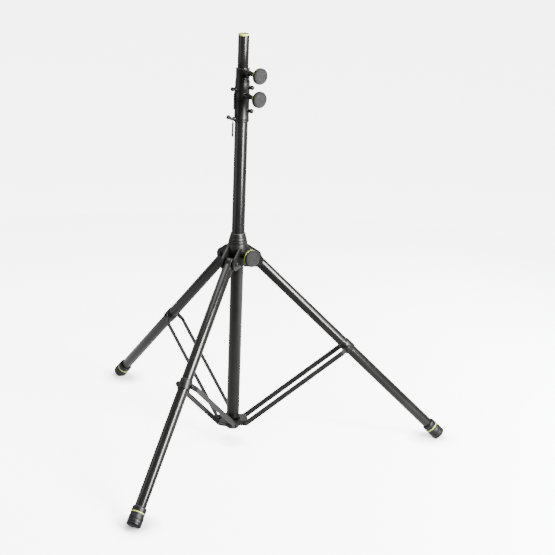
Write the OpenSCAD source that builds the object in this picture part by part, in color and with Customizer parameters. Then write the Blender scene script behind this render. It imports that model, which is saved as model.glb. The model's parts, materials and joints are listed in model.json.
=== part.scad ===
// Folding tripod stand for a loudspeaker: three tubular legs on a sliding hub,
// flat-bar braces to a fixed lower hub, and a three-stage telescopic column.
// Origin: on the column's axis, at the level of the floor. +X points to the first leg.

/* [Column] */
// Outside diameter of the top tube, a standard speaker pole
pole_d = 35; // [34.8:0.1:35.2]
// Outside diameter of the middle tube
mid_d = 38.5; // [38.5:0.1:38.8]
// Outside diameter of the base tube
base_d = 42; // [42:0.1:42.3]
// Wall thickness of every tube
wall = 1.4; // [1.2:0.1:1.4]
// Height of the very top of the pole
top_z = 1373; // [1350:1:1400]
// Height of the joint between the two collars
collar_z = 1190; // [1180:1:1200]

/* [Legs] */
// Angle of an open leg from the vertical
leg_tilt = 45.74; // [45:0.01:46.5]
// Distance from the column's axis to a leg's pivot
hub_pivot_r = 60; // [60:1:64]
// Height of the leg pivots with the stand open
hub_pivot_z = 645; // [640:1:650]
// Length of a leg, from its pivot to the middle of its sole
leg_l = 898.1; // [890:1:906]
// Diameter of a foot cap
foot_d = 46; // [44:0.5:48]

/* [Braces] */
// Distance along a leg from its pivot to the brace's pivot
brace_at = 439; // [430:1:442]
// Distance from the column's axis to a brace's lower pivot
low_pivot_r = 42; // [40:0.5:44]
// Height of the brace's lower pivot
low_pivot_z = 78; // [76:0.5:80]
// Width of a brace bar
bar_w = 17; // [14:1:18]
// Thickness of a brace bar
bar_t = 3; // [2.5:0.1:3]
// Distance between the middles of a pair of bars, along their straight stretch
bar_pair = 62; // [60:1:70]

/* [Clamp knobs] */
// Diameter of the two collar knobs
knob_d = 52; // [46:1:56]
// Diameter of the hub knob
hub_knob_d = 56; // [50:1:58]
// Distance from the column's axis to the face of a collar knob
knob_face_r = 97; // [90:1:104]
// Distance from the column's axis to the face of the hub knob
hub_knob_face_r = 86; // [82:1:92]

/* [Hidden] */
$fn = 64;

// Clearances: between bodies that pass each other, and in a running fit
gap = 0.3;
fit = 0.05;

// Directions of the three legs, the knobs, the plungers and the safety pins
right_az = 0;
back_az = 120;
front_az = 240;
leg_azs = [right_az, back_az, front_az];
knob_az = 300;
plunger_az = 330;
pin_az = 200;

base_r = base_d / 2;
mid_r = mid_d / 2;
pole_r = pole_d / 2;
leg_r = pole_r;

// Column: the fixed base tube and its two ends
base_bottom_z = 63;
collar_h = 74;
low_collar_bottom_z = collar_z - 93;
base_top_z = collar_z - 25;
upper_collar_z = collar_z + 0.5;
upper_collar_top_z = upper_collar_z + collar_h;
mid_bottom_z = 150;
mid_top_z = upper_collar_top_z - 28;
ring_h = 6;
pole_end_z = top_z - ring_h;
pole_bottom_z = 250;
guide_h = 10;
spigot_h = 20;
mark_depth = 0.7;
mark_w = 3;
mark_z = upper_collar_top_z + 1.5;

// Collars: outside radii, and the heights of what sits on them
collar_r = 23.5;
upper_collar_r = 21.8;
upper_band_h = 34;
low_knob_z = collar_z - 9;
up_knob_z = upper_collar_top_z - 10.5;
low_plunger_z = collar_z - 58;
up_plunger_z = collar_z + 16;
low_pin_z = collar_z - 84;
up_pin_z = collar_z + 10;

// Clamp: a stud in a boss, a shoe at its tip, and a knob on its outer end
stud_r = 4;
shoe_r = 5;
shoe_l = 7;
boss_r = 9;
boss_end_r = 38;
hub_boss_r = 12;
hub_boss_end_r = 47;
neck_r = 7.5;
knob_t = 13;
knob_ring_t = 3;

// Plunger and safety pin
plunger_r = 3;
plunger_boss_r = 6.5;
plunger_boss_end = 25.3;
plunger_ball_at = 33;
ball_r = 7.2;
low_pin_boss_end = 28.5;
up_pin_boss_end = 25.3;
pin_grip_r = plunger_r + 1.2;
pin_ball_r = 6;
up_pin_ball_at = 34;
low_pin_grip_l = 12.5;
low_pin_bend = 30;
link_t = 1.6;
link_w = 5;
up_link_l = 62;
low_link_l = 56;

// Sliding hub
hub_bottom_z = hub_pivot_z - 17;
hub_core_top_z = hub_pivot_z + 48;
hub_top_z = hub_pivot_z + 86;
hub_core_r = 34;
hub_neck_r = 24;
hub_knob_z = hub_pivot_z + 20;
hub_bush_r = 22.2;
ear_in = leg_r + 0.5;
ear_out = ear_in + 6;
ear_r = 22;
// An ear's web, from its pivot: [distance out, height]; it slopes from the eye to the core's top
ear_outline = [[-40, 40], [-26, 43], [12, 18.4], [0, -ear_r], [-40, -ear_r]];
pivot_bolt_r = 4;

// Legs
knuckle_l = 12;
leg_tube_end = leg_l - 4;
foot_in_l = 50;
foot_out_l = 10;
sole_t = 4;
ring_at = 31;
ring_w = 3;
bracket_l = 34;
bracket_wall = 2.6;
bar_in_leg = leg_r + 6;
bracket_half = bar_in_leg - gap;

// Braces: the tilt and length follow from the two pivots of the open stand
leg_point_r = hub_pivot_r + brace_at * sin(leg_tilt);
leg_point_z = hub_pivot_z - brace_at * cos(leg_tilt);
brace_dr = leg_point_r - low_pivot_r;
brace_dz = leg_point_z - low_pivot_z;
brace_l = sqrt(brace_dr * brace_dr + brace_dz * brace_dz);
brace_tilt = atan2(brace_dr, brace_dz);
bar_in = bar_pair / 2 - bar_t / 2;
joggle_a = 12;
joggle_b = 26;
low_bolt_r = 3;
rivet_r = 4;
low_hub_r = 25.5;
low_hub_top_z = 94;
low_lug_half = bar_in - gap;
low_lug_r = 9;
cap_r = 22;
cap_h = 12;

// ---- helpers ----

// Turns local +X to the direction az around the column
module at_az(az) { rotate([0, 0, az]) children(); }

// A radial shape: local +Z points out from the column at height z
module radial(az, z) { at_az(az) translate([0, 0, z]) rotate([0, 90, 0]) children(); }

// Leg frame: origin at the pivot, +Z down the leg, +Y around the column, -X on its upper side
module leg_frame(az) {
    at_az(az) translate([hub_pivot_r, 0, hub_pivot_z]) rotate([0, 180 - leg_tilt, 0]) children();
}

// Brace frame: origin at the lower pivot, +Z up the brace
module brace_frame(az) {
    at_az(az) translate([low_pivot_r, 0, low_pivot_z]) rotate([0, brace_tilt, 0]) children();
}

// A ring of height h from height z
module ring(z, h, outer, inner) {
    translate([0, 0, z]) difference() {
        cylinder(h = h, r = outer);
        translate([0, 0, -1]) cylinder(h = h + 2, r = inner);
    }
}

// A cylinder along Y, from y0 to y1
module across(y0, y1, r, fn = 48) {
    translate([0, y1, 0]) rotate([90, 0, 0]) cylinder(h = y1 - y0, r = r, $fn = fn);
}

// A cylinder between two distances from the column's axis
module spoke(az, z, r0, r1, r) { radial(az, z) translate([0, 0, r0]) cylinder(h = r1 - r0, r = r); }

// ---- column ----

module base_tube() {
    color("#25231f") difference() {
        ring(base_bottom_z, base_top_z - base_bottom_z, base_r, base_r - wall);
        spoke(plunger_az, low_plunger_z, 10, 40, plunger_r + fit);
        spoke(pin_az, low_pin_z, 10, 40, plunger_r + fit);
    }
}

module lower_hub() {
    color("#1d1d1c") difference() {
        union() {
            translate([0, 0, base_bottom_z - 2])
                cylinder(h = low_hub_top_z - base_bottom_z + 2, r = low_hub_r - 1);
            translate([0, 0, base_bottom_z - 2])
                cylinder(h = low_pivot_z + low_lug_r - base_bottom_z + 2, r = low_hub_r);
            for (az = leg_azs) at_az(az) {
                translate([low_pivot_r, 0, low_pivot_z])
                    across(-low_lug_half, low_lug_half, low_lug_r);
                translate([low_hub_r - 5, -low_lug_half, low_pivot_z - low_lug_r])
                    cube([low_pivot_r - low_hub_r + 5, 2 * low_lug_half, 2 * low_lug_r]);
                translate([0, -low_lug_half, low_pivot_z - low_lug_r])
                    cube([low_hub_r, 2 * low_lug_half, 2 * low_lug_r]);
            }
        }
        translate([0, 0, base_bottom_z]) cylinder(h = 60, r = base_r + fit);
        for (az = leg_azs) at_az(az) translate([low_pivot_r, 0, low_pivot_z]) across(-40, 40, low_bolt_r);
    }
}

module lower_hub_cap() {
    color("#1d1d1c") translate([0, 0, base_bottom_z - 2]) rotate([180, 0, 0]) rotate_extrude()
        polygon([[0, 0], [cap_r, 0], [cap_r, 3], [cap_r - 3, 8], [12, 11], [0, cap_h]]);
}

module lower_hub_bolts() {
    head = bar_in + bar_t + gap;
    color("#3a3a38") for (az = leg_azs) at_az(az) translate([low_pivot_r, 0, low_pivot_z]) {
        across(-head - 1, head + 1, low_bolt_r);
        across(head, head + 3.5, 6);
        across(-head - 3.5, -head, 6, 6);
    }
}

// A collar's clamp boss: a bore for the stud and a wider one for the shoe
module clamp_boss(z, end_r, r) { spoke(knob_az, z, 15, end_r, r); }
module clamp_bore(z, tube_r, end_r) {
    spoke(knob_az, z, 5, end_r + 1, stud_r + fit);
    spoke(knob_az, z, 5, tube_r + gap + shoe_l + 4, shoe_r + fit);
}

module lower_collar() {
    color("#1b1b1a") difference() {
        union() {
            ring(low_collar_bottom_z, collar_z - low_collar_bottom_z, collar_r, 10);
            ring(low_collar_bottom_z, 5, collar_r + 1, 10);
            ring(low_collar_bottom_z + 9, 2, collar_r + 0.6, 10);
            ring(collar_z - 22, 18, collar_r + 0.8, 10);
            clamp_boss(low_knob_z, boss_end_r, boss_r - 0.2);
            spoke(plunger_az, low_plunger_z, 15, plunger_boss_end, plunger_boss_r);
            spoke(pin_az, low_pin_z, 15, low_pin_boss_end, plunger_boss_r);
        }
        translate([0, 0, low_collar_bottom_z - 1]) cylinder(h = 200, r = base_r + fit);
        clamp_bore(low_knob_z, mid_r, boss_end_r);
        spoke(plunger_az, low_plunger_z, 5, 60, plunger_r + fit);
        spoke(pin_az, low_pin_z, 5, 60, plunger_r + fit);
        for (z = [low_plunger_z - 12, low_plunger_z + 16]) spoke(120, z, 5, 60, 2);
    }
}

module lower_collar_bush() {
    color("#4a4a48") difference() {
        ring(base_top_z, collar_z - base_top_z, base_r, mid_r + fit);
        spoke(knob_az, low_knob_z, 5, 60, shoe_r + fit);
    }
}

module collar_screws(zs, out_r, az) {
    for (z = zs) {
        spoke(az, z, out_r - 2, out_r + 1, 2);
        spoke(az, z, out_r + 0.5, out_r + 2.5, 3.6);
    }
}

module lower_collar_screws() {
    color("#8b8b88") collar_screws([low_plunger_z - 12, low_plunger_z + 16], collar_r, 120);
}

// ---- sliding hub ----

module hub_body() {
    color("#1b1b1a") difference() {
        union() {
            translate([0, 0, hub_bottom_z]) cylinder(h = hub_core_top_z - hub_bottom_z, r = hub_core_r);
            translate([0, 0, hub_core_top_z - 4]) rotate_extrude() polygon([
                [0, 0], [32.5, 0], [32, 6], [30.8, 7.5], [31.2, 9.5], [30.4, 17], [29, 18.5],
                [29.3, 20.5], [27.9, 27], [26.5, 28.5], [26.7, 30.5], [25.3, 36], [hub_neck_r, 42], [0, 42]
            ]);
            clamp_boss(hub_knob_z, hub_boss_end_r, hub_boss_r);
            for (az = leg_azs, side = [-1, 1]) at_az(az) {
                y0 = side > 0 ? ear_in : -ear_out;
                translate([hub_pivot_r, y0 + ear_out - ear_in, hub_pivot_z]) rotate([90, 0, 0])
                    linear_extrude(height = ear_out - ear_in) {
                        circle(r = ear_r);
                        polygon(ear_outline);
                    }
            }
        }
        translate([0, 0, hub_bottom_z - 10]) cylinder(h = 200, r = hub_bush_r + fit);
        clamp_bore(hub_knob_z, base_r, hub_boss_end_r);
        for (az = leg_azs) at_az(az) translate([hub_pivot_r, 0, hub_pivot_z]) across(-60, 60, pivot_bolt_r);
    }
}

module hub_bushes() {
    color("#4a4a48") {
        ring(hub_top_z - 30, 31, hub_bush_r, base_r + fit);
        ring(hub_bottom_z - 1, 24, hub_bush_r, base_r + fit);
    }
}

module leg_pivot_bolts() {
    color("#2a2a29") for (az = leg_azs) at_az(az) translate([hub_pivot_r, 0, hub_pivot_z]) {
        across(-ear_out - 1, ear_out + 1, pivot_bolt_r);
        across(ear_out, ear_out + 1.5, 9);
        across(ear_out, ear_out + 6, 7, 6);
        across(-ear_out - 1.5, -ear_out, 9);
        across(-ear_out - 6, -ear_out, 7, 6);
    }
}

// ---- legs ----

module leg_tube(az) {
    color("#1f1f1d") leg_frame(az) ring(knuckle_l, leg_tube_end - knuckle_l, leg_r, leg_r - wall);
}

module leg_knuckle(az) {
    color("#1b1b1a") leg_frame(az) difference() {
        union() {
            intersection() {
                translate([0, 0, -leg_r]) cylinder(h = leg_r + knuckle_l, r = leg_r);
                union() {
                    across(-leg_r, leg_r, leg_r);
                    translate([-leg_r, -leg_r, 0]) cube([2 * leg_r, 2 * leg_r, knuckle_l]);
                }
            }
            translate([0, 0, knuckle_l - 1]) cylinder(h = 34, r = leg_r - wall);
        }
        across(-40, 40, pivot_bolt_r + fit);
    }
}

module leg_bracket(az) {
    color("#1b1b1a") leg_frame(az) translate([0, 0, brace_at]) difference() {
        union() {
            translate([0, 0, -bracket_l / 2]) cylinder(h = bracket_l, r = leg_r + bracket_wall);
            across(-bracket_half, bracket_half, 9);
        }
        translate([0, 0, -60]) cylinder(h = 120, r = leg_r + 0.02);
    }
}

// Foot cap: a ribbed rubber boot, cut flat where it rests on the floor
module foot_cap(az) {
    fr = foot_d / 2;
    color("#232326") difference() {
        leg_frame(az) translate([0, 0, leg_l]) difference() {
            rotate_extrude() polygon([
                [0, foot_out_l], [fr - 3, foot_out_l], [fr, foot_out_l - 3],
                [fr, 4], [fr - 1, 3], [fr - 1, 1], [fr, 0],
                [fr, -7], [fr - 1, -8], [fr - 1, -10], [fr, -11],
                [fr, -18], [fr - 1.2, -24], [fr - 1.2, ring_w / 2 - ring_at],
                [fr - 2.5, ring_w / 2 - ring_at], [fr - 2.5, -ring_w / 2 - ring_at],
                [fr - 1, -ring_w / 2 - ring_at], [fr - 0.4, -foot_in_l + 3],
                [fr - 2, -foot_in_l], [0, -foot_in_l]
            ]);
            translate([0, 0, -100 - sole_t]) cylinder(h = 100, r = leg_r + 0.02);
        }
        translate([-2000, -2000, -100]) cube([4000, 4000, 100]);
    }
}

module foot_ring(az) {
    color("#cdd96a") leg_frame(az)
        ring(leg_l - ring_at - ring_w / 2, ring_w, foot_d / 2 - 0.4, foot_d / 2 - 2.5);
}

// ---- braces ----

// One bar's outline, seen along the bar's width: straight, and joggled in towards the leg
module bar_outline() {
    ins = [
        [bar_in, 0], [bar_in, brace_l - joggle_b],
        [bar_in_leg, brace_l - joggle_a], [bar_in_leg, brace_l]
    ];
    outs = [for (i = [3:-1:0]) [ins[i][0] + bar_t, ins[i][1]]];
    polygon(concat(ins, outs));
}

module brace_bars(az) {
    color("#353533") brace_frame(az) for (side = [0, 1]) mirror([0, side, 0]) difference() {
        union() {
            rotate([90, 0, 90]) translate([0, 0, -bar_w / 2]) linear_extrude(height = bar_w) bar_outline();
            across(bar_in, bar_in + bar_t, bar_w / 2);
            translate([0, 0, brace_l]) across(bar_in_leg, bar_in_leg + bar_t, bar_w / 2);
        }
        across(0, 60, low_bolt_r + fit);
        translate([0, 0, brace_l]) across(0, 60, rivet_r);
    }
}

module brace_rivets(az) {
    color("#2a2a29") brace_frame(az) translate([0, 0, brace_l]) for (side = [0, 1]) mirror([0, side, 0]) {
        across(bar_in_leg, bar_in_leg + bar_t + 1, rivet_r);
        across(bar_in_leg + bar_t, bar_in_leg + bar_t + 3.5, 6.5);
    }
}

// ---- telescopic stages ----

// A tube's lower end: a flange that runs in the tube outside it, and a spigot in the tube above
module tube_guide(z, flange_r, spigot_r) {
    translate([0, 0, z]) difference() {
        union() {
            translate([0, 0, -guide_h]) cylinder(h = guide_h, r = flange_r);
            cylinder(h = spigot_h, r = spigot_r);
        }
        translate([0, 0, -20]) cylinder(h = 60, r = spigot_r - 3);
    }
}

module mid_tube() {
    color("#1f1f1d") difference() {
        ring(mid_bottom_z, mid_top_z - mid_bottom_z, mid_r, mid_r - wall);
        spoke(plunger_az, up_plunger_z, 10, 40, plunger_r + fit);
        spoke(pin_az, up_pin_z, 10, 40, plunger_r + fit);
    }
}

module mid_tube_guide() { color("#4a4a48") tube_guide(mid_bottom_z, base_r - wall - fit, mid_r - wall); }

module upper_collar() {
    color("#1b1b1a") difference() {
        union() {
            ring(upper_collar_z, collar_h, upper_collar_r, 10);
            ring(upper_collar_z, upper_band_h, collar_r, 10);
            ring(upper_collar_z + upper_band_h + 3, 2, upper_collar_r + 0.7, 10);
            ring(upper_collar_top_z - 4, 4, upper_collar_r + 0.6, 10);
            clamp_boss(up_knob_z, boss_end_r, boss_r);
            spoke(plunger_az, up_plunger_z, 15, plunger_boss_end, plunger_boss_r);
            spoke(pin_az, up_pin_z, 15, up_pin_boss_end, plunger_boss_r);
        }
        translate([0, 0, upper_collar_z - 1]) cylinder(h = 200, r = mid_r + fit);
        clamp_bore(up_knob_z, pole_r, boss_end_r);
        spoke(plunger_az, up_plunger_z, 5, 60, plunger_r + fit);
        spoke(pin_az, up_pin_z, 5, 60, plunger_r + fit);
        for (z = [up_plunger_z - 6, up_plunger_z + 12]) spoke(120, z, 5, 60, 2);
    }
}

module upper_collar_bush() {
    color("#4a4a48") difference() {
        ring(mid_top_z, upper_collar_top_z - mid_top_z, mid_r, pole_r + fit);
        spoke(knob_az, up_knob_z, 5, 60, shoe_r + fit);
    }
}

module upper_collar_screws() {
    color("#8b8b88") collar_screws([up_plunger_z - 6, up_plunger_z + 12], collar_r, 120);
}

module top_tube() {
    color("#1f1f1d") difference() {
        ring(pole_bottom_z, pole_end_z - pole_bottom_z, pole_r, pole_r - wall);
        ring(mark_z, mark_w, pole_r + 1, pole_r - mark_depth);
    }
}

module top_tube_guide() {
    color("#4a4a48") tube_guide(pole_bottom_z, mid_r - wall - fit, pole_r - wall);
}

module top_plug() {
    color("#1b1b1a") {
        translate([0, 0, pole_end_z - 18]) cylinder(h = 18, r = pole_r - wall);
        translate([0, 0, pole_end_z]) cylinder(h = ring_h - 1.5, r = pole_r - 3.5);
    }
}

module top_ring() {
    color("#cdd96a") translate([0, 0, pole_end_z]) rotate_extrude() polygon([
        [pole_r - 3.5, 0], [pole_r, 0], [pole_r, ring_h - 1.2],
        [pole_r - 1.2, ring_h], [pole_r - 3.5, ring_h]
    ]);
}

// ---- clamp knobs ----

// A mushroom knob on a waisted neck, hollow where the stud is moulded in
module knob_head(z, start_r, face_r, d) {
    r = d / 2;
    l = face_r - start_r;
    color("#3b3b3b") radial(knob_az, z) translate([0, 0, start_r]) rotate_extrude($fn = 96) polygon([
        [stud_r, 0], [neck_r + 1, 0], [neck_r, 3], [neck_r, l - knob_t - 8],
        [neck_r + 4, l - knob_t - 2], [r - 5, l - knob_t], [r - 5, l - knob_t + knob_ring_t],
        [r - 0.6, l - knob_t + knob_ring_t], [r, l - knob_t + knob_ring_t + 1.2], [r, l - 3],
        [r - 1, l - 1], [r - 3, l], [0, l], [0, l - 6], [stud_r, l - 6]
    ]);
}

module hub_knob_head() {
    knob_head(hub_knob_z, hub_boss_end_r + 0.5, hub_knob_face_r, hub_knob_d);
}

module collar_knob_head(z) { knob_head(z, boss_end_r + 0.5, knob_face_r, knob_d); }

module knob_ring(z, face_r, d) {
    r = d / 2;
    color("#b9c45a") radial(knob_az, z) ring(face_r - knob_t, knob_ring_t, r - 0.4, r - 5);
}

module knob_stud(z, tube_r, face_r) {
    color("#8b8b88") spoke(knob_az, z, tube_r + gap + shoe_l + fit, face_r - 6, stud_r);
}

module clamp_shoe(z, tube_r) {
    color("#6d6d6a") spoke(knob_az, z, tube_r + gap, tube_r + gap + shoe_l, shoe_r);
}

// ---- plungers and safety pins ----

module plunger(z, tube_r) {
    color("#2c2c2b") {
        spoke(plunger_az, z, tube_r + gap, plunger_ball_at, plunger_r);
        radial(plunger_az, z) translate([0, 0, plunger_ball_at]) sphere(r = ball_r);
    }
}

// Distance at which a safety pin's thick grip starts, just past the link that hangs on it
function grip_start(boss_end) = boss_end + gap + link_t + gap;

module upper_pin() {
    color("#2c2c2b") {
        spoke(pin_az, up_pin_z, pole_r + gap, up_pin_ball_at, plunger_r);
        spoke(pin_az, up_pin_z, grip_start(up_pin_boss_end), up_pin_ball_at, pin_grip_r);
        radial(pin_az, up_pin_z) translate([0, 0, up_pin_ball_at]) sphere(r = pin_ball_r);
    }
}

// The lower pin's grip is bent upwards
module lower_pin() {
    knee_at = grip_start(low_pin_boss_end) + pin_grip_r;
    color("#2c2c2b") {
        spoke(pin_az, low_pin_z, mid_r + gap, knee_at, plunger_r);
        radial(pin_az, low_pin_z) translate([0, 0, knee_at]) {
            sphere(r = pin_grip_r);
            rotate([0, -low_pin_bend, 0]) {
                cylinder(h = low_pin_grip_l, r = pin_grip_r);
                translate([0, 0, low_pin_grip_l]) sphere(r = pin_ball_r);
            }
        }
    }
}

// A flat link with an eye on the pin's shank, hanging straight down
module pin_link(z, boss_end, l) {
    color("#8d8d88") radial(pin_az, z) translate([0, 0, boss_end + gap]) difference() {
        union() {
            cylinder(h = link_t, r = plunger_r + 3);
            translate([0, -link_w / 2, 0]) cube([l, link_w, link_t]);
            translate([l, 0, 0]) cylinder(h = link_t, r = link_w / 2);
        }
        translate([0, 0, -1]) cylinder(h = link_t + 2, r = plunger_r + fit);
    }
}

base_tube();
lower_hub();
lower_hub_cap();
lower_hub_bolts();
lower_collar();
lower_collar_bush();
lower_collar_screws();
hub_body();
hub_bushes();
leg_pivot_bolts();
leg_tube(right_az);  // right_leg_tube
leg_knuckle(right_az);  // right_leg_knuckle
leg_bracket(right_az);  // right_leg_bracket
foot_cap(right_az);  // right_foot_cap
foot_ring(right_az);  // right_foot_ring
leg_tube(back_az);  // back_leg_tube
leg_knuckle(back_az);  // back_leg_knuckle
leg_bracket(back_az);  // back_leg_bracket
foot_cap(back_az);  // back_foot_cap
foot_ring(back_az);  // back_foot_ring
leg_tube(front_az);  // front_leg_tube
leg_knuckle(front_az);  // front_leg_knuckle
leg_bracket(front_az);  // front_leg_bracket
foot_cap(front_az);  // front_foot_cap
foot_ring(front_az);  // front_foot_ring
brace_bars(right_az);  // right_brace_bars
brace_rivets(right_az);  // right_brace_rivets
brace_bars(back_az);  // back_brace_bars
brace_rivets(back_az);  // back_brace_rivets
brace_bars(front_az);  // front_brace_bars
brace_rivets(front_az);  // front_brace_rivets
mid_tube();
mid_tube_guide();
upper_collar();
upper_collar_bush();
upper_collar_screws();
top_tube();
top_tube_guide();
top_plug();
top_ring();
hub_knob_head();
knob_ring(hub_knob_z, hub_knob_face_r, hub_knob_d);  // hub_knob_ring
knob_stud(hub_knob_z, base_r, hub_knob_face_r);  // hub_knob_stud
clamp_shoe(hub_knob_z, base_r);  // hub_shoe
collar_knob_head(low_knob_z);  // lower_knob_head
knob_ring(low_knob_z, knob_face_r, knob_d);  // lower_knob_ring
knob_stud(low_knob_z, mid_r, knob_face_r);  // lower_knob_stud
clamp_shoe(low_knob_z, mid_r);  // lower_shoe
collar_knob_head(up_knob_z);  // upper_knob_head
knob_ring(up_knob_z, knob_face_r, knob_d);  // upper_knob_ring
knob_stud(up_knob_z, pole_r, knob_face_r);  // upper_knob_stud
clamp_shoe(up_knob_z, pole_r);  // upper_shoe
plunger(low_plunger_z, mid_r);  // lower_plunger
plunger(up_plunger_z, pole_r);  // upper_plunger
lower_pin();
pin_link(low_pin_z, low_pin_boss_end, low_link_l);  // lower_pin_link
upper_pin();
pin_link(up_pin_z, up_pin_boss_end, up_link_l);  // upper_pin_link
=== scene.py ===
"""Looks of the folding tripod speaker stand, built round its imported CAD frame.

Metres, +Z up. The column stands on the origin, the right-hand leg points along +X.
Outlines of turned pieces and the constants that shape pieces are in mm.
"""
import json
import math

import bpy
import bmesh
from mathutils import Matrix, Vector


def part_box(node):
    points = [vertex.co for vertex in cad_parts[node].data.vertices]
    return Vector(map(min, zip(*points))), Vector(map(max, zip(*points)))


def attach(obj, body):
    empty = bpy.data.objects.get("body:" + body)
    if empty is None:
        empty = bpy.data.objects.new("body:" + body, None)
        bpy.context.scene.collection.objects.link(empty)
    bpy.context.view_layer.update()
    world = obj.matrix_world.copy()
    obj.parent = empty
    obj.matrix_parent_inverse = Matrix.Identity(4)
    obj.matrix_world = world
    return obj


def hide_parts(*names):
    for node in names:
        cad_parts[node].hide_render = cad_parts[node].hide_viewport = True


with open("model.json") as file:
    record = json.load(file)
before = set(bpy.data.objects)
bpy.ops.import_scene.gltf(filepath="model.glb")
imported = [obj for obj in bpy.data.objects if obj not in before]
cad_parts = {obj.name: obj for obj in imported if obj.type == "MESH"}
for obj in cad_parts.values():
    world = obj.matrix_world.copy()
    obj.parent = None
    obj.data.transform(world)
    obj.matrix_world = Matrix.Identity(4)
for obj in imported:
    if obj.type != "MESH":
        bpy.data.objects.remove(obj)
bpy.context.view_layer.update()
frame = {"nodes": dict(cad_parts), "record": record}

MM = 0.001
LEGS = ("right", "back", "front")
BEHAVIOUR = frame["record"]["behaviour"]
JOINTS = {j["name"]: j for j in BEHAVIOUR["joints"]}
BODY_OF = {node: body for body, nodes in BEHAVIOUR["bodies"].items() for node in nodes}
SLOT_OF = {p["node"]: p["material_slot"] for p in frame["record"]["subparts"]}


# ---------------------------------------------------------------- camera and lights

CAMERA_AT = Vector((-0.5360, -4.7899, 2.1756))
CAMERA_YAW = math.radians(-7.954)
CAMERA_DOWN = math.radians(18.277)
CAMERA_ROLL = math.radians(2.172)
CAMERA_LENS = 101.53

# Name: place, target, width, height, watts.
LIGHTS = {
    "key": ((1.95, -2.58, 1.6), (0, 0, 0.9), 0.55, 2.0, 290),
    "high": ((1.75, -1.58, 2.45), (-0.06, -0.17, 0.45), 0.65, 1.3, 224),
    "fill": ((2.75, -1.66, 1.9), (0, -0.2, 0.5), 1.0, 1.4, 25),
    "top": ((-0.3, 0.7, 3.6), (0, 0, 0), 2.2, 2.0, 60),
    "rim": ((-2.7, -0.5, 1.2), (0, 0, 0.7), 1.6, 2.4, 18),
}


def add_object(name, data):
    obj = bpy.data.objects.new(name, data)
    bpy.context.collection.objects.link(obj)
    return obj


def make_camera():
    data = bpy.data.cameras.new("camera")
    data.lens = CAMERA_LENS
    data.sensor_width = 36.0
    data.clip_end = 60.0
    cam = add_object("camera", data)
    turn = Matrix.Rotation(CAMERA_YAW, 4, "Z")
    tilt = Matrix.Rotation(math.pi / 2 - CAMERA_DOWN, 4, "X")
    roll = Matrix.Rotation(CAMERA_ROLL, 4, "Z")
    cam.matrix_world = Matrix.Translation(CAMERA_AT) @ turn @ tilt @ roll
    bpy.context.scene.camera = cam


def area_light(name, place, target, width, height, power):
    data = bpy.data.lights.new(name, "AREA")
    data.shape = "RECTANGLE"
    data.size = width
    data.size_y = height
    data.energy = power
    light = add_object(name, data)
    light.location = place
    aim = Vector(target) - Vector(place)
    light.rotation_euler = aim.to_track_quat("-Z", "Y").to_euler()


# ---------------------------------------------------------------- node helpers

WHITE = (1.0, 1.0, 1.0, 1.0)


def node_tree(owner):
    owner.use_nodes = True
    tree = owner.node_tree
    tree.nodes.clear()
    return tree.nodes, tree.links


def set_inputs(node, **values):
    """Sets the node's own inputs. An underscore stands for the space in an input's name."""
    for key, value in values.items():
        node.inputs[key.replace("_", " ")].default_value = value


def map_range(nodes, links, source, low, high, to_low, to_high, smooth=False):
    node = nodes.new("ShaderNodeMapRange")
    if smooth:
        node.interpolation_type = "SMOOTHSTEP"
    set_inputs(node, From_Min=low, From_Max=high, To_Min=to_low, To_Max=to_high)
    links.new(source, node.inputs["Value"])
    return node.outputs["Result"]


def split_xyz(nodes, links, source):
    node = nodes.new("ShaderNodeSeparateXYZ")
    links.new(source, node.inputs[0])
    return node.outputs


# ---------------------------------------------------------------- backdrop, floor and bounce

BACKDROP = 5.5
AMBIENT = 0.08
BEHIND = 1.0
BEHIND_FROM = 0.9        # Y of the direction at which the light from behind is full

FLOOR_HALF = 40.0
FLOOR_TONE = (0.93, 0.93, 0.94, 1)
FLOOR_GLOW = 5.5
# painted contact shadow: how far the floor's glow drops close under the object
SHADOW_GLOW = 0.25
SHADOW_OPENNESS = 0.7    # the glow falls to SHADOW_GLOW at this openness
SHADOW_REACH = 0.07
SHADOW_SAMPLES = 16

BOUNCE_R = 2.8
BOUNCE_FADE = 0.4        # share of the radius at which the fade to the edge starts
BOUNCE_LIFT = 0.002
BOUNCE_Y = (-1.4, 0.4, 0.12, 0.95)    # from, to, strength at from, strength at to
BOUNCE_X = (0.2, 1.7, 0.0, 2.9)


def make_world():
    """A white backdrop that lights the object softly, and more strongly from behind, along +Y."""
    world = bpy.data.worlds.new("studio")
    bpy.context.scene.world = world
    nodes, links = node_tree(world)
    out = nodes.new("ShaderNodeOutputWorld")
    mix = nodes.new("ShaderNodeMixShader")
    links.new(nodes.new("ShaderNodeLightPath").outputs["Is Camera Ray"], mix.inputs[0])
    lit, seen = [nodes.new("ShaderNodeBackground") for _ in range(2)]
    for socket, back in ((1, lit), (2, seen)):
        set_inputs(back, Color=WHITE, Strength=BACKDROP)
        links.new(back.outputs[0], mix.inputs[socket])
    towards = split_xyz(nodes, links, nodes.new("ShaderNodeTexCoord").outputs["Generated"])
    fade = map_range(nodes, links, towards["Y"], 0.0, BEHIND_FROM, AMBIENT, BEHIND, smooth=True)
    links.new(fade, lit.inputs["Strength"])
    links.new(mix.outputs[0], out.inputs["Surface"])


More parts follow.
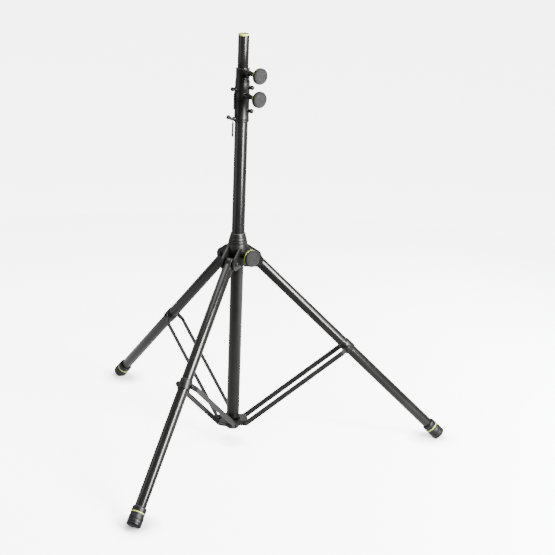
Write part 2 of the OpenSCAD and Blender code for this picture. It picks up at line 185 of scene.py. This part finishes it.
def make_floor():
    """White paper that glows by itself, with a painted contact shadow: the glow drops where
    something stands close above it.
    """
    mesh = bpy.data.meshes.new("floor")
    corners = [(x * FLOOR_HALF, y * FLOOR_HALF, 0) for x, y in ((-1, -1), (1, -1), (1, 1), (-1, 1))]
    mesh.from_pydata(corners, [], [(0, 1, 2, 3)])
    floor = add_object("floor", mesh)
    mat = bpy.data.materials.new("floor_paper")
    nodes, links = node_tree(mat)
    out = nodes.new("ShaderNodeOutputMaterial")
    shade = nodes.new("ShaderNodeBsdfPrincipled")
    set_inputs(shade, Base_Color=FLOOR_TONE, Roughness=0.9, Specular_IOR_Level=0.0,
               Emission_Color=WHITE)
    # painted contact shadow: ambient occlusion lowers the floor's glow close under the object
    near = nodes.new("ShaderNodeAmbientOcclusion")
    near.samples = SHADOW_SAMPLES
    set_inputs(near, Distance=SHADOW_REACH)
    glow = map_range(nodes, links, near.outputs["AO"],
                     SHADOW_OPENNESS, 1.0, SHADOW_GLOW, FLOOR_GLOW)
    links.new(glow, shade.inputs["Emission Strength"])
    links.new(shade.outputs[0], out.inputs["Surface"])
    mesh.materials.append(mat)
    floor.visible_glossy = False
    floor.visible_diffuse = False


def make_bounce():
    """The lit floor as the object reflects it: brighter towards +Y, and towards the key at +X."""
    bm = bmesh.new()
    bmesh.ops.create_circle(bm, cap_ends=True, segments=64, radius=BOUNCE_R)
    mesh = bpy.data.meshes.new("bounce")
    bm.to_mesh(mesh)
    bm.free()
    disc = add_object("bounce", mesh)
    disc.location = (0, 0, BOUNCE_LIFT)
    mat = bpy.data.materials.new("bounce_glow")
    nodes, links = node_tree(mat)
    out = nodes.new("ShaderNodeOutputMaterial")
    glow = nodes.new("ShaderNodeEmission")
    coords = nodes.new("ShaderNodeTexCoord").outputs["Object"]
    away = nodes.new("ShaderNodeVectorMath")
    away.operation = "LENGTH"
    links.new(coords, away.inputs[0])
    across = split_xyz(nodes, links, coords)
    total = map_range(nodes, links, across["Y"], *BOUNCE_Y, smooth=True)
    side = map_range(nodes, links, across["X"], *BOUNCE_X, smooth=True)
    edge = map_range(nodes, links, away.outputs["Value"],
                     BOUNCE_FADE * BOUNCE_R, BOUNCE_R, 1.0, 0.0, smooth=True)
    for operation, other in (("ADD", side), ("MULTIPLY", edge)):
        step = nodes.new("ShaderNodeMath")
        step.operation = operation
        links.new(total, step.inputs[0])
        links.new(other, step.inputs[1])
        total = step.outputs[0]
    links.new(total, glow.inputs["Strength"])
    links.new(glow.outputs[0], out.inputs["Surface"])
    mesh.materials.append(mat)
    disc.visible_camera = False
    disc.visible_shadow = False


make_camera()
make_world()
make_floor()
make_bounce()
for name, light in LIGHTS.items():
    area_light(name, *light)


# ---------------------------------------------------------------- materials

NOISE_SPAN = (0.3, 0.7)
FINE, COARSE = 0.0001, 0.0002    # heights of the bumps
WARM = (1.0, 0.985, 0.93)
MATERIALS = {}


class Shader:
    """A Principled material with helpers for procedural detail in the object's own coordinates."""

    def __init__(self, name):
        self.mat = bpy.data.materials.new(name)
        self.nodes, self.links = node_tree(self.mat)
        out = self.nodes.new("ShaderNodeOutputMaterial")
        self.bsdf = self.nodes.new("ShaderNodeBsdfPrincipled")
        self.links.new(self.bsdf.outputs[0], out.inputs["Surface"])
        self.coords = self.nodes.new("ShaderNodeTexCoord").outputs["Object"]
        self.bump_in = None

    def noise(self, scale, detail=3.0, rough=0.5):
        node = self.nodes.new("ShaderNodeTexNoise")
        set_inputs(node, Scale=scale, Detail=detail, Roughness=rough)
        self.links.new(self.coords, node.inputs["Vector"])
        return node.outputs["Fac"]

    def cells(self, scale):
        node = self.nodes.new("ShaderNodeTexVoronoi")
        set_inputs(node, Scale=scale)
        self.links.new(self.coords, node.inputs["Vector"])
        return node.outputs["Distance"]

    def colour(self, fac, *stops):
        node = self.nodes.new("ShaderNodeValToRGB")
        for element, (place, colour) in zip(node.color_ramp.elements, stops):
            element.position = place
            element.color = (*colour, 1)
        self.links.new(fac, node.inputs["Fac"])
        self.links.new(node.outputs["Color"], self.bsdf.inputs["Base Color"])

    def roughness(self, fac, low, high):
        span = map_range(self.nodes, self.links, fac, *NOISE_SPAN, low, high)
        self.links.new(span, self.bsdf.inputs["Roughness"])

    def bump(self, height, strength, distance):
        node = self.nodes.new("ShaderNodeBump")
        set_inputs(node, Strength=strength, Distance=distance)
        self.links.new(height, node.inputs["Height"])
        if self.bump_in:
            self.links.new(self.bump_in, node.inputs["Normal"])
        self.bump_in = node.outputs["Normal"]
        self.links.new(self.bump_in, self.bsdf.inputs["Normal"])


def grey(level, tint=(1.0, 1.0, 1.0)):
    return tuple(level * t for t in tint)


def finish(name, grain, dark, light, haze, rough, *bumps, **values):
    """Adds a finish to MATERIALS.

    grain and haze are the noises of the colour and the roughness, as (scale, detail, roughness).
    dark and light are colour stops, as (place, colour), and rough is the roughness range.
    Each bump is (helper, its settings, strength, height). values are Principled inputs.
    """
    s = Shader(name)
    set_inputs(s.bsdf, **values)
    s.colour(s.noise(*grain), dark, light)
    s.roughness(s.noise(*haze), *rough)
    for texture, settings, strength, distance in bumps:
        s.bump(texture(s, *settings), strength, distance)
    MATERIALS[name] = s.mat


finish("powder_coat", (14.0, 4.0), (0.3, grey(0.007, WARM)), (0.7, grey(0.012, WARM)),
       (60.0, 5.0), (0.19, 0.26),
       (Shader.noise, (1500.0, 2.0), 0.16, FINE), (Shader.noise, (420.0, 1.0), 0.08, COARSE),
       Specular_IOR_Level=0.5)
finish("black_plastic", (30.0, 5.0), (0.3, grey(0.005, WARM)), (0.7, grey(0.011, WARM)),
       (90.0, 4.0), (0.3, 0.42), (Shader.cells, (1400.0,), 0.3, FINE), Specular_IOR_Level=0.4)
finish("knob_plastic", (260.0, 6.0, 0.7), (0.35, grey(0.008)), (0.65, grey(0.022)),
       (120.0, 3.0), (0.45, 0.62), (Shader.noise, (900.0, 3.0), 0.5, COARSE),
       Specular_IOR_Level=0.24)
finish("lime_plastic", (40.0, 3.0), (0.3, (0.62, 0.74, 0.10)), (0.7, (0.72, 0.82, 0.16)),
       (150.0, 3.0), (0.3, 0.42), (Shader.noise, (1200.0, 2.0), 0.15, FINE),
       Specular_IOR_Level=0.5)
finish("foot_rubber", (45.0, 6.0, 0.6), (0.3, (0.004, 0.004, 0.005)), (0.72, (0.012, 0.012, 0.013)),
       (80.0, 4.0), (0.36, 0.5), (Shader.noise, (1100.0, 3.0), 0.3, COARSE),
       Specular_IOR_Level=0.35)
finish("bush_plastic", (70.0, 3.0), (0.3, grey(0.05)), (0.7, grey(0.075)),
       (100.0, 3.0), (0.35, 0.45), (Shader.noise, (700.0, 2.0), 0.15, FINE),
       Specular_IOR_Level=0.5)
finish("black_steel", (220.0, 5.0), (0.3, grey(0.014)), (0.7, grey(0.034)),
       (160.0, 4.0), (0.42, 0.56), (Shader.noise, (1600.0, 2.0), 0.2, FINE), Metallic=0.6)
finish("bright_steel", (260.0, 5.0), (0.3, (0.22, 0.22, 0.21)), (0.7, (0.36, 0.36, 0.35)),
       (200.0, 4.0), (0.26, 0.38), (Shader.noise, (1400.0, 2.0), 0.2, FINE), Metallic=1.0)
# The satin black of the leg knuckles: nearly as smooth as the tubes that they close.
finish("cast_black", (30.0, 5.0), (0.3, grey(0.006, WARM)), (0.7, grey(0.012, WARM)),
       (80.0, 4.0), (0.2, 0.29), (Shader.noise, (1300.0, 2.0), 0.18, FINE),
       Specular_IOR_Level=0.5)


# ---------------------------------------------------------------- CAD nodes: finish, softened edges

EDGE_RADIUS = {
    "powder_coat": 0.35, "black_plastic": 0.8, "bush_plastic": 0.3, "black_steel": 0.4,
    "bright_steel": 0.25, "lime_plastic": 0.4, "knob_plastic": 0.6, "foot_rubber": 0.8,
}
WELD_GAP = 0.01
SHARP = math.radians(32)


def finish_cad(node):
    obj = frame["nodes"][node]
    slot = SLOT_OF[node]
    look = "cast_black" if node.endswith("_leg_knuckle") else slot
    for held in obj.material_slots:
        held.material = MATERIALS[look]
    weld = obj.modifiers.new("weld", "WELD")
    weld.merge_threshold = WELD_GAP * MM
    bevel = obj.modifiers.new("edges", "BEVEL")
    bevel.width = EDGE_RADIUS[slot] * MM
    bevel.segments = 2
    bevel.limit_method = "ANGLE"
    bevel.angle_limit = SHARP
    bevel.harden_normals = False
    bevel.use_clamp_overlap = True


for node in frame["nodes"]:
    finish_cad(node)


# ---------------------------------------------------------------- mesh helpers

ON_AXIS = 1e-4           # a radius below this is a pole
CORNER_SHARE = 0.45      # a rounded corner takes at most this share of its edges
SMOOTH = math.radians(40)


def frame_at(origin, axis, up=(0, 0, 1)):
    """A matrix at origin: local Z runs along axis, and local X is as near up as it can be."""
    z = Vector(axis).normalized()
    x = Vector(up) - z * Vector(up).dot(z)
    x.normalize()
    y = z.cross(x)
    turn = Matrix((x, y, z)).transposed().to_4x4()
    return Matrix.Translation(Vector(origin)) @ turn


def rounded(points, radius, steps=4):
    """The outline with each inner corner replaced by an arc-like curve no wider than radius."""
    out = [points[0]]
    for before, here, after in zip(points, points[1:], points[2:]):
        a, b, c = Vector(before), Vector(here), Vector(after)
        reach = min(radius, (a - b).length * CORNER_SHARE, (c - b).length * CORNER_SHARE)
        start = b + (a - b).normalized() * reach
        end = b + (c - b).normalized() * reach
        for i in range(steps + 1):
            t = i / steps
            out.append(tuple(start * (1 - t) ** 2 + b * 2 * t * (1 - t) + end * t ** 2))
    out.append(points[-1])
    return out


def turn_into(bm, outline, matrix, sides=48, reshape=None):
    """Turns an outline of (radius, height) points about local Z.

    reshape(r, z, angle) may move each point.
    """
    rings = []
    for r, z in outline:
        if r < ON_AXIS:
            rings.append([bm.verts.new(matrix @ (Vector((0, 0, z)) * MM))])
            continue
        row = []
        for i in range(sides):
            angle = 2 * math.pi * i / sides
            rr, zz = reshape(r, z, angle) if reshape else (r, z)
            point = Vector((rr * math.cos(angle), rr * math.sin(angle), zz)) * MM
            row.append(bm.verts.new(matrix @ point))
        rings.append(row)
    for low, high in zip(rings, rings[1:]):
        for i in range(sides):
            j = (i + 1) % sides
            ends = ((low, i), (low, j), (high, j), (high, i))
            corners = list(dict.fromkeys(ring[k % len(ring)] for ring, k in ends))
            if len(corners) > 2:
                bm.faces.new(corners)


def as_object(name, bm):
    mesh = bpy.data.meshes.new(name)
    bmesh.ops.recalc_face_normals(bm, faces=bm.faces)
    for face in bm.faces:
        face.smooth = True
    for edge in bm.edges:
        if len(edge.link_faces) == 2 and edge.calc_face_angle(0) > SMOOTH:
            edge.smooth = False
    bm.to_mesh(mesh)
    bm.free()
    return add_object(name, mesh)


def joined(name, parts):
    """One object from several turned parts, each (outline, matrix, sides, reshape)."""
    bm = bmesh.new()
    for part in parts:
        turn_into(bm, *part)
    return as_object(name, bm)


def lathe(name, outline, matrix, sides=96, reshape=None):
    return joined(name, [(outline, matrix, sides, reshape)])


def hexagon(keep):
    """A reshape that turns the rings for which keep(r, z) holds into hexagons."""
    half = math.pi / 6

    def reshape(r, z, angle):
        if not keep(r, z):
            return r, z
        return r * math.cos(half) / math.cos((angle + half) % (2 * half) - half), z
    return reshape


def middle_height(node):
    low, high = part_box(node)
    return (low[2] + high[2]) / 2


def upright_radius(node):
    """The radius in mm of a round node that stands on edge."""
    low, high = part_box(node)
    return (high[2] - low[2]) / 2 / MM


def place(obj, slot, node):
    """Gives a piece its finish, puts it on its node's body and hides the node it stands for."""
    obj.data.materials.append(MATERIALS[slot])
    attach(obj, BODY_OF[node])
    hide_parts(node)


# ---------------------------------------------------------------- clamp knobs

NECK_START = {"hub": 47.5, "lower": 38.5, "upper": 38.5}
NECK_R = 7.5
STUD_R = 4
KNOB_T = 13
KNOB_RING_T = 3
KNOB_BACK = -KNOB_T + KNOB_RING_T
RIM_W = 2.6
RIM_LOBES = 28
RIM_DEPTH = 0.7
DISH_IN = 6.4            # from the rim to the knurled dish
DISH_Z = -0.35
DISH_STEPS = 26
HUB_FLAT = 5.5           # radius of the plain middle of the dish
KNURL_PITCH = 3.4
KNURL_RAYS = 28
KNURL_DEPTH = 0.4


def knob_head(which):
    """A knob of one piece with its neck. Z is 0 at its face and falls towards the column."""
    joint = JOINTS[which + "_knob_turn"]
    r = upright_radius(which + "_knob_head")
    start = NECK_START[which] - math.hypot(joint["pos_m"][0], joint["pos_m"][1]) / MM
    dish = r - DISH_IN
    outline = rounded([
        (STUD_R, start), (NECK_R + 1, start), (NECK_R, start + 3), (NECK_R, -KNOB_T - 8),
        (NECK_R + 4, -KNOB_T - 2), (r - 5, -KNOB_T), (r - 5, KNOB_BACK), (r - 0.8, KNOB_BACK),
        (r, KNOB_BACK + 1.4), (r, -RIM_W), (r - 2.2, 0), (r - 3.4, 0),
    ], 1.2)
    outline += [(r - 4.6, -0.9), (r - 5.8, -0.9)]
    outline += [(dish * (1 - i / DISH_STEPS), DISH_Z) for i in range(DISH_STEPS)]
    outline.append((0, DISH_Z))

    def grip(rr, zz, angle):
        """Lobes round the rim and a knurl of rays and rings in the dish."""
        if rr > r - RIM_W and zz > KNOB_BACK - 0.1:
            weight = min(1.0, (rr - (r - RIM_W)) / 2.0)
            lobe = (0.5 - 0.5 * math.cos(RIM_LOBES * angle)) ** 2
            return rr - RIM_DEPTH * weight * lobe, zz
        if rr <= dish + 0.001 and zz > -0.5:
            fade = max(0.0, min(1.0, (dish - rr) / 1.5, rr - HUB_FLAT))
            rings = math.cos(2 * math.pi * (dish - rr) / KNURL_PITCH)
            return rr, zz + KNURL_DEPTH * fade * math.cos(KNURL_RAYS * angle) * rings
        return rr, zz

    matrix = frame_at(joint["pos_m"], joint["axis"])
    obj = lathe(which + "_knob_grip", outline, matrix, 168, grip)
    place(obj, "knob_plastic", which + "_knob_head")


def knob_ring(which):
    joint = JOINTS[which + "_knob_turn"]
    r = upright_radius(which + "_knob_ring")
    inner = r - 4.6
    mid = (KNOB_BACK - KNOB_T) / 2
    outline = rounded([
        (inner, mid), (inner, -KNOB_T), (r - 0.8, -KNOB_T), (r, -KNOB_T + 0.8),
        (r, KNOB_BACK - 0.3), (r - 0.4, KNOB_BACK), (inner, KNOB_BACK), (inner, mid),
    ], 0.5)
    obj = lathe(which + "_knob_lime_ring", outline, frame_at(joint["pos_m"], joint["axis"]))
    place(obj, "lime_plastic", which + "_knob_ring")


# ---------------------------------------------------------------- feet

LEG_R = 17.5
LEG_L = 898.1
FOOT_R = 23
FOOT_IN = 50
FOOT_OUT = 10
# How far each point lies inside FOOT_R, and its height along the leg, from the sole up.
BOOT = (
    (3.4, FOOT_OUT), (0, FOOT_OUT - 3), (0, 4), (1.2, 3.2), (1.2, 0.8), (0, 0), (0, -7),
    (1.2, -7.8), (1.2, -10.2), (0, -11), (0, -18), (1.2, -23), (1.2, -29.5), (2.5, -29.6),
    (2.5, -32.4), (1.0, -32.5), (0.5, -46), (2.2, -FOOT_IN),
)
BOOT_RIBS = 36
RIB_DEPTH = 0.35
RIBS_FROM, RIBS_TO = -29.3, 0.5
FOOT_RING_MID = -31
FOOT_RING_HALF = 1.5


def leg_axis(leg):
    """The leg's pivot and its direction down to the foot, from the middle of its tube."""
    pivot = Vector(JOINTS[leg + "_leg_hinge"]["pos_m"])
    low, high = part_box(leg + "_leg_tube")
    return pivot, ((Vector(low) + Vector(high)) / 2 - pivot).normalized()


def leg_end(leg):
    """A frame on the end of the leg's tube, with Z on down the leg."""
    pivot, down = leg_axis(leg)
    return frame_at(pivot + down * LEG_L * MM, down)


def foot_cap(leg):
    outline = [(0, FOOT_OUT)] + [(FOOT_R - inside, z) for inside, z in BOOT]
    outline += [(LEG_R + 0.3, -FOOT_IN), (LEG_R + 0.1, -46)]

    def ribs(rr, zz, angle):
        if not RIBS_FROM <= zz <= RIBS_TO or rr < FOOT_R - 1.6:
            return rr, zz
        return rr - RIB_DEPTH * (0.5 - 0.5 * math.cos(BOOT_RIBS * angle)) ** 3, zz

    obj = lathe(leg + "_foot_boot", rounded(outline, 0.9), leg_end(leg), 144, ribs)
    for v in obj.data.vertices:    # the sole stands flat on the floor
        v.co.z = max(v.co.z, 0.0)
    place(obj, "foot_rubber", leg + "_foot_cap")


def foot_ring(leg):
    r, inner, mid = FOOT_R - 0.4, FOOT_R - 2.3, FOOT_RING_MID
    back, front = mid - FOOT_RING_HALF, mid + FOOT_RING_HALF
    outline = rounded([
        (inner, mid), (inner, back), (r, back), (r, front), (inner, front), (inner, mid),
    ], 0.7)
    obj = lathe(leg + "_foot_lime_ring", outline, leg_end(leg))
    place(obj, "lime_plastic", leg + "_foot_ring")


# ---------------------------------------------------------------- bolts, rivets and screws

# Half widths over the brace bars at the lower hub and at the leg, and over the ears of a hub fork.
BAR_OUT = 32.5
LEG_BAR_OUT = 26.5
EAR_OUT = 24.0
BRACE_AT = 439           # down the leg from its pivot
WASHER_T = 1.4
RIVET = ((4, -3), (4, 0), (6.2, 0), (6.5, 0.4), (6.3, 1.4), (5.4, 2.5), (3.6, 3.2), (1.5, 3.5),
         (1.2, 3.0), (0, 2.9))
COLLAR_R = 23.5
SCREW_AZIMUTH = math.radians(120)
SCREW_R = 3.6


def socket_head(at, r, tall, shank, socket):
    """Outline of a domed socket head whose underside is at height at, and its reshape."""
    top = at + tall
    points = [(shank, at - 1.5), (shank, at), (r - 0.3, at), (r, at + 0.3), (r, top - 0.42 * tall),
              (r - 0.14 * r, top - 0.14 * tall), (r - 0.32 * r, top), (socket + 0.3, top),
              (socket, top - 0.3), (socket, top - 0.55 * tall), (0, top - 0.6 * tall)]
    return points, hexagon(lambda rr, zz: rr <= socket + 0.01 and zz > at + 0.3)


def hex_nut(at, r, tall, shank):
    """Outline of a chamfered nut on a rounded bolt end, and its reshape."""
    top = at + tall
    flat = r * math.cos(math.pi / 6)
    points = [(shank, at - 1.5), (shank, at), (r, at), (r, at + 0.6 * tall),
              (r, top - 0.12 * tall), (flat - 0.2, top), (shank + 0.7, top),
              (shank + 0.2, top - 0.5), (shank - 0.1, top - 0.4), (shank - 0.1, top + 0.5),
              (shank - 0.8, top + 1.2), (0, top + 1.2)]
    return points, hexagon(lambda rr, zz: rr >= r - 0.01)


def washer(at, r, inner):
    """Outline of a washer whose underside is at height at."""
    top = at + WASHER_T
    return [(inner, at), (r - 0.2, at), (r, at + 0.2), (r, top - 0.2), (r - 0.2, top), (inner, top)]


def through_bolt(centre, axis, half, r, tall, shank, disc):
    """The parts of a bolt along axis: a socket head, a nut on the other side, and a shank.

    Its head and nut sit half from the centre, on washers of radius disc if that isn't 0.
    """
    sides = [frame_at(centre, axis), frame_at(centre, -Vector(axis))]
    reach = half - 1.5
    parts = [([(shank, -reach), (shank, reach)], sides[0], 32, None)]
    seat = half + (WASHER_T if disc else 0.0)
    ends = socket_head(seat, r, tall, shank, 0.42 * r), hex_nut(seat, r, tall, shank)
    for matrix, (outline, reshape) in zip(sides, ends):
        parts.append((outline, matrix, 48, reshape))
        if disc:
            parts.append((washer(half, disc, shank), matrix, 48, None))
    return parts


def hinge_bolts(name, node, suffix, **sizes):
    parts = []
    for leg in LEGS:
        joint = JOINTS[leg + suffix]
        parts += through_bolt(joint["pos_m"], joint["axis"], **sizes)
    place(joined(name, parts), "black_steel", node)


def rivets(leg):
    pivot, down = leg_axis(leg)
    axis = Vector(JOINTS[leg + "_leg_hinge"]["axis"])
    outline = [(r, LEG_BAR_OUT + z) for r, z in RIVET]
    parts = [(outline, frame_at(pivot + down * BRACE_AT * MM, side * axis), 48, None)
             for side in (1, -1)]
    place(joined(leg + "_brace_rivet_pair", parts), "black_steel", leg + "_brace_rivets")


def collar_screws(which):
    """Two pan-head screws in the back of a collar, at the heights of the node's two solids."""
    node = which + "_collar_screws"
    low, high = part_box(node)
    axis = Vector((math.cos(SCREW_AZIMUTH), math.sin(SCREW_AZIMUTH), 0))
    outline, reshape = socket_head(COLLAR_R + 0.5, SCREW_R, 2.0, 2.0, 1.4)
    parts = [(outline, frame_at((0, 0, z), axis), 36, reshape)
             for z in (low[2] + SCREW_R * MM, high[2] - SCREW_R * MM)]
    place(joined(which + "_collar_pan_screws", parts), "bright_steel", node)


# ---------------------------------------------------------------- plungers, pins and pole end

TUBE_R = {"lower": 19.25, "upper": 17.5}
BALL_STEPS = 22
BALL_END = math.pi * 0.94
PIN_R = 3
ARM_R = 4.8
KNEE_OUT = 34.9
KNEE_UP = 4.2
KNEE_STEPS = 12
BEND = math.radians(30)
LINK_L = {"lower": 56, "upper": 62}
LINK_T = 1.6
EYE_R = 6
EYE_HOLE = 3.1
TAIL_SIDES = 20
# Along the strap, half width and half thickness. A place up to 3 is counted from the strap's end.
TAIL = (
    (3.5, 2.5, 0.8), (7.0, 2.4, 0.9), (11.0, 2.0, 2.2), (15.0, 1.9, 3.4), (30.0, 1.8, 3.4),
    (-7.0, 1.9, 3.4), (-3.5, 2.4, 3.5), (-0.5, 2.6, 3.3), (1.4, 1.9, 2.2), (2.4, 0.6, 0.6),
)


def ball_on_shank(start, neck, at, ball, shank, grip):
    """Outline of a pulled shank with a small turned shoulder at neck and a ball at height at."""
    first = math.asin(grip / ball)
    angles = [first + (BALL_END - first) * i / BALL_STEPS for i in range(BALL_STEPS + 1)]
    arc = [(ball * math.sin(a), at - ball * math.cos(a)) for a in angles]
    return [(0, start), (shank - 0.3, start), (shank, start + 0.3), (shank, neck), (grip, neck),
            (grip + 0.5, neck + 0.3), (grip + 0.5, neck + 1.0), (grip, neck + 1.3),
            *arc, (0, arc[-1][1] + 0.1)]


def plunger(which):
    node = which + "_plunger"
    matrix = frame_at((0, 0, middle_height(node)), JOINTS[which + "_plunger_pull"]["axis"])
    outline = ball_on_shank(TUBE_R[which] + 0.3, 25.5, 33, 7.8, PIN_R, 3.4)
    place(lathe(which + "_plunger_ball", outline, matrix, 64), "black_steel", node)


def upper_pin():
    outline = ball_on_shank(17.8, 27.5, 34, 6.8, PIN_R, 4.6)
    matrix = frame_at((0, 0, middle_height("upper_pin")), JOINTS["upper_pin_pull"]["axis"])
    place(lathe("upper_pin_ball", outline, matrix, 64), "black_steel", "upper_pin")


def lower_pin():
    """A straight pin, a round knee and a ball-headed arm bent upwards from it."""
    axis = Vector(JOINTS["lower_pin_pull"]["axis"])
    low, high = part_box("lower_pin")
    knee = axis * KNEE_OUT * MM + Vector((0, 0, low[2] + KNEE_UP * MM))
    bent = (axis * math.cos(BEND) + Vector((0, 0, math.sin(BEND)))).normalized()
    straight = [(0, -15.3), (PIN_R - 0.3, -15.3), (PIN_R, -15.0), (PIN_R, -4.2), (ARM_R, -3.9),
                (ARM_R, 0.0), (0, 0.6)]
    turns = [math.pi * i / KNEE_STEPS for i in range(KNEE_STEPS + 1)]
    round_knee = [(ARM_R * math.sin(a), -ARM_R * math.cos(a)) for a in turns]
    arm = ball_on_shank(-0.5, 1.5, 12.5, 7.2, 4.4, 4.6)
    along, up = frame_at(knee, axis), frame_at(knee, bent)
    parts = [(straight, along, 48, None), (round_knee, along, 48, None), (arm, up, 64, None)]
    place(joined("lower_pin_ball", parts), "black_steel", "lower_pin")


def pin_link(which):
    """A retaining strap: a flat eye round the pin that thickens into a tail with a bulb end."""
    axis = JOINTS[which + "_pin_pull"]["axis"]
    matrix = frame_at(JOINTS[which + "_link_swing"]["pos_m"], axis, (0, 0, -1))
    bm = bmesh.new()
    half = LINK_T / 2
    eye = [(EYE_HOLE, 0), (EYE_HOLE, -half), (EYE_R, -half), (EYE_R, half), (EYE_HOLE, half),
           (EYE_HOLE, 0)]
    turn_into(bm, rounded(eye, 0.4), matrix, 40)
    angles = [2 * math.pi * i / TAIL_SIDES for i in range(TAIL_SIDES)]
    rows = []
    for at, half_w, half_t in TAIL:
        x = at if at > 3 else LINK_L[which] + at
        points = [Vector((x, half_w * math.cos(a), half_t * math.sin(a))) * MM for a in angles]
        rows.append([bm.verts.new(matrix @ point) for point in points])
    for low, high in zip(rows, rows[1:]):
        for i in range(TAIL_SIDES):
            j = (i + 1) % TAIL_SIDES
            bm.faces.new((low[i], low[j], high[j], high[i]))
    bm.faces.new(rows[0])
    bm.faces.new(rows[-1])
    place(as_object(which + "_pin_strap", bm), "black_steel", which + "_pin_link")


def pole_end():
    low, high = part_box("top_ring")
    base, top = low[2] / MM, high[2] / MM
    at = Matrix.Identity(4)
    ring = rounded([(14.2, base), (17.3, base), (17.5, base + 0.3), (17.5, top - 1.4),
                    (16.4, top), (14.2, top)], 0.6)
    place(lathe("top_lime_ring", ring, at), "lime_plastic", "top_ring")
    plug = rounded([(0, base - 18), (15.6, base - 18), (16.1, base - 17.2), (16.1, base),
                    (14.0, base), (14.0, top - 2.0), (12.6, top - 1.3), (7, top - 0.9),
                    (4.4, top - 0.9), (3.6, top - 2.2), (0, top - 2.2)], 0.5)
    place(lathe("top_end_plug", plug, at), "black_plastic", "top_plug")


hinge_bolts("leg_pivot_fasteners", "leg_pivot_bolts", "_leg_hinge",
            half=EAR_OUT, r=7.0, tall=4.6, shank=4.0, disc=9.0)
hinge_bolts("lower_hub_fasteners", "lower_hub_bolts", "_brace_hinge",
            half=BAR_OUT + 0.3, r=6.0, tall=3.5, shank=3.0, disc=0)
for which in ("lower", "upper"):
    plunger(which)
    collar_screws(which)
upper_pin()
lower_pin()
pin_link("lower")
pin_link("upper")
pole_end()
for leg in LEGS:
    rivets(leg)
for which in ("hub", "lower", "upper"):
    knob_head(which)
    knob_ring(which)
for leg in LEGS:
    foot_cap(leg)
    foot_ring(leg)
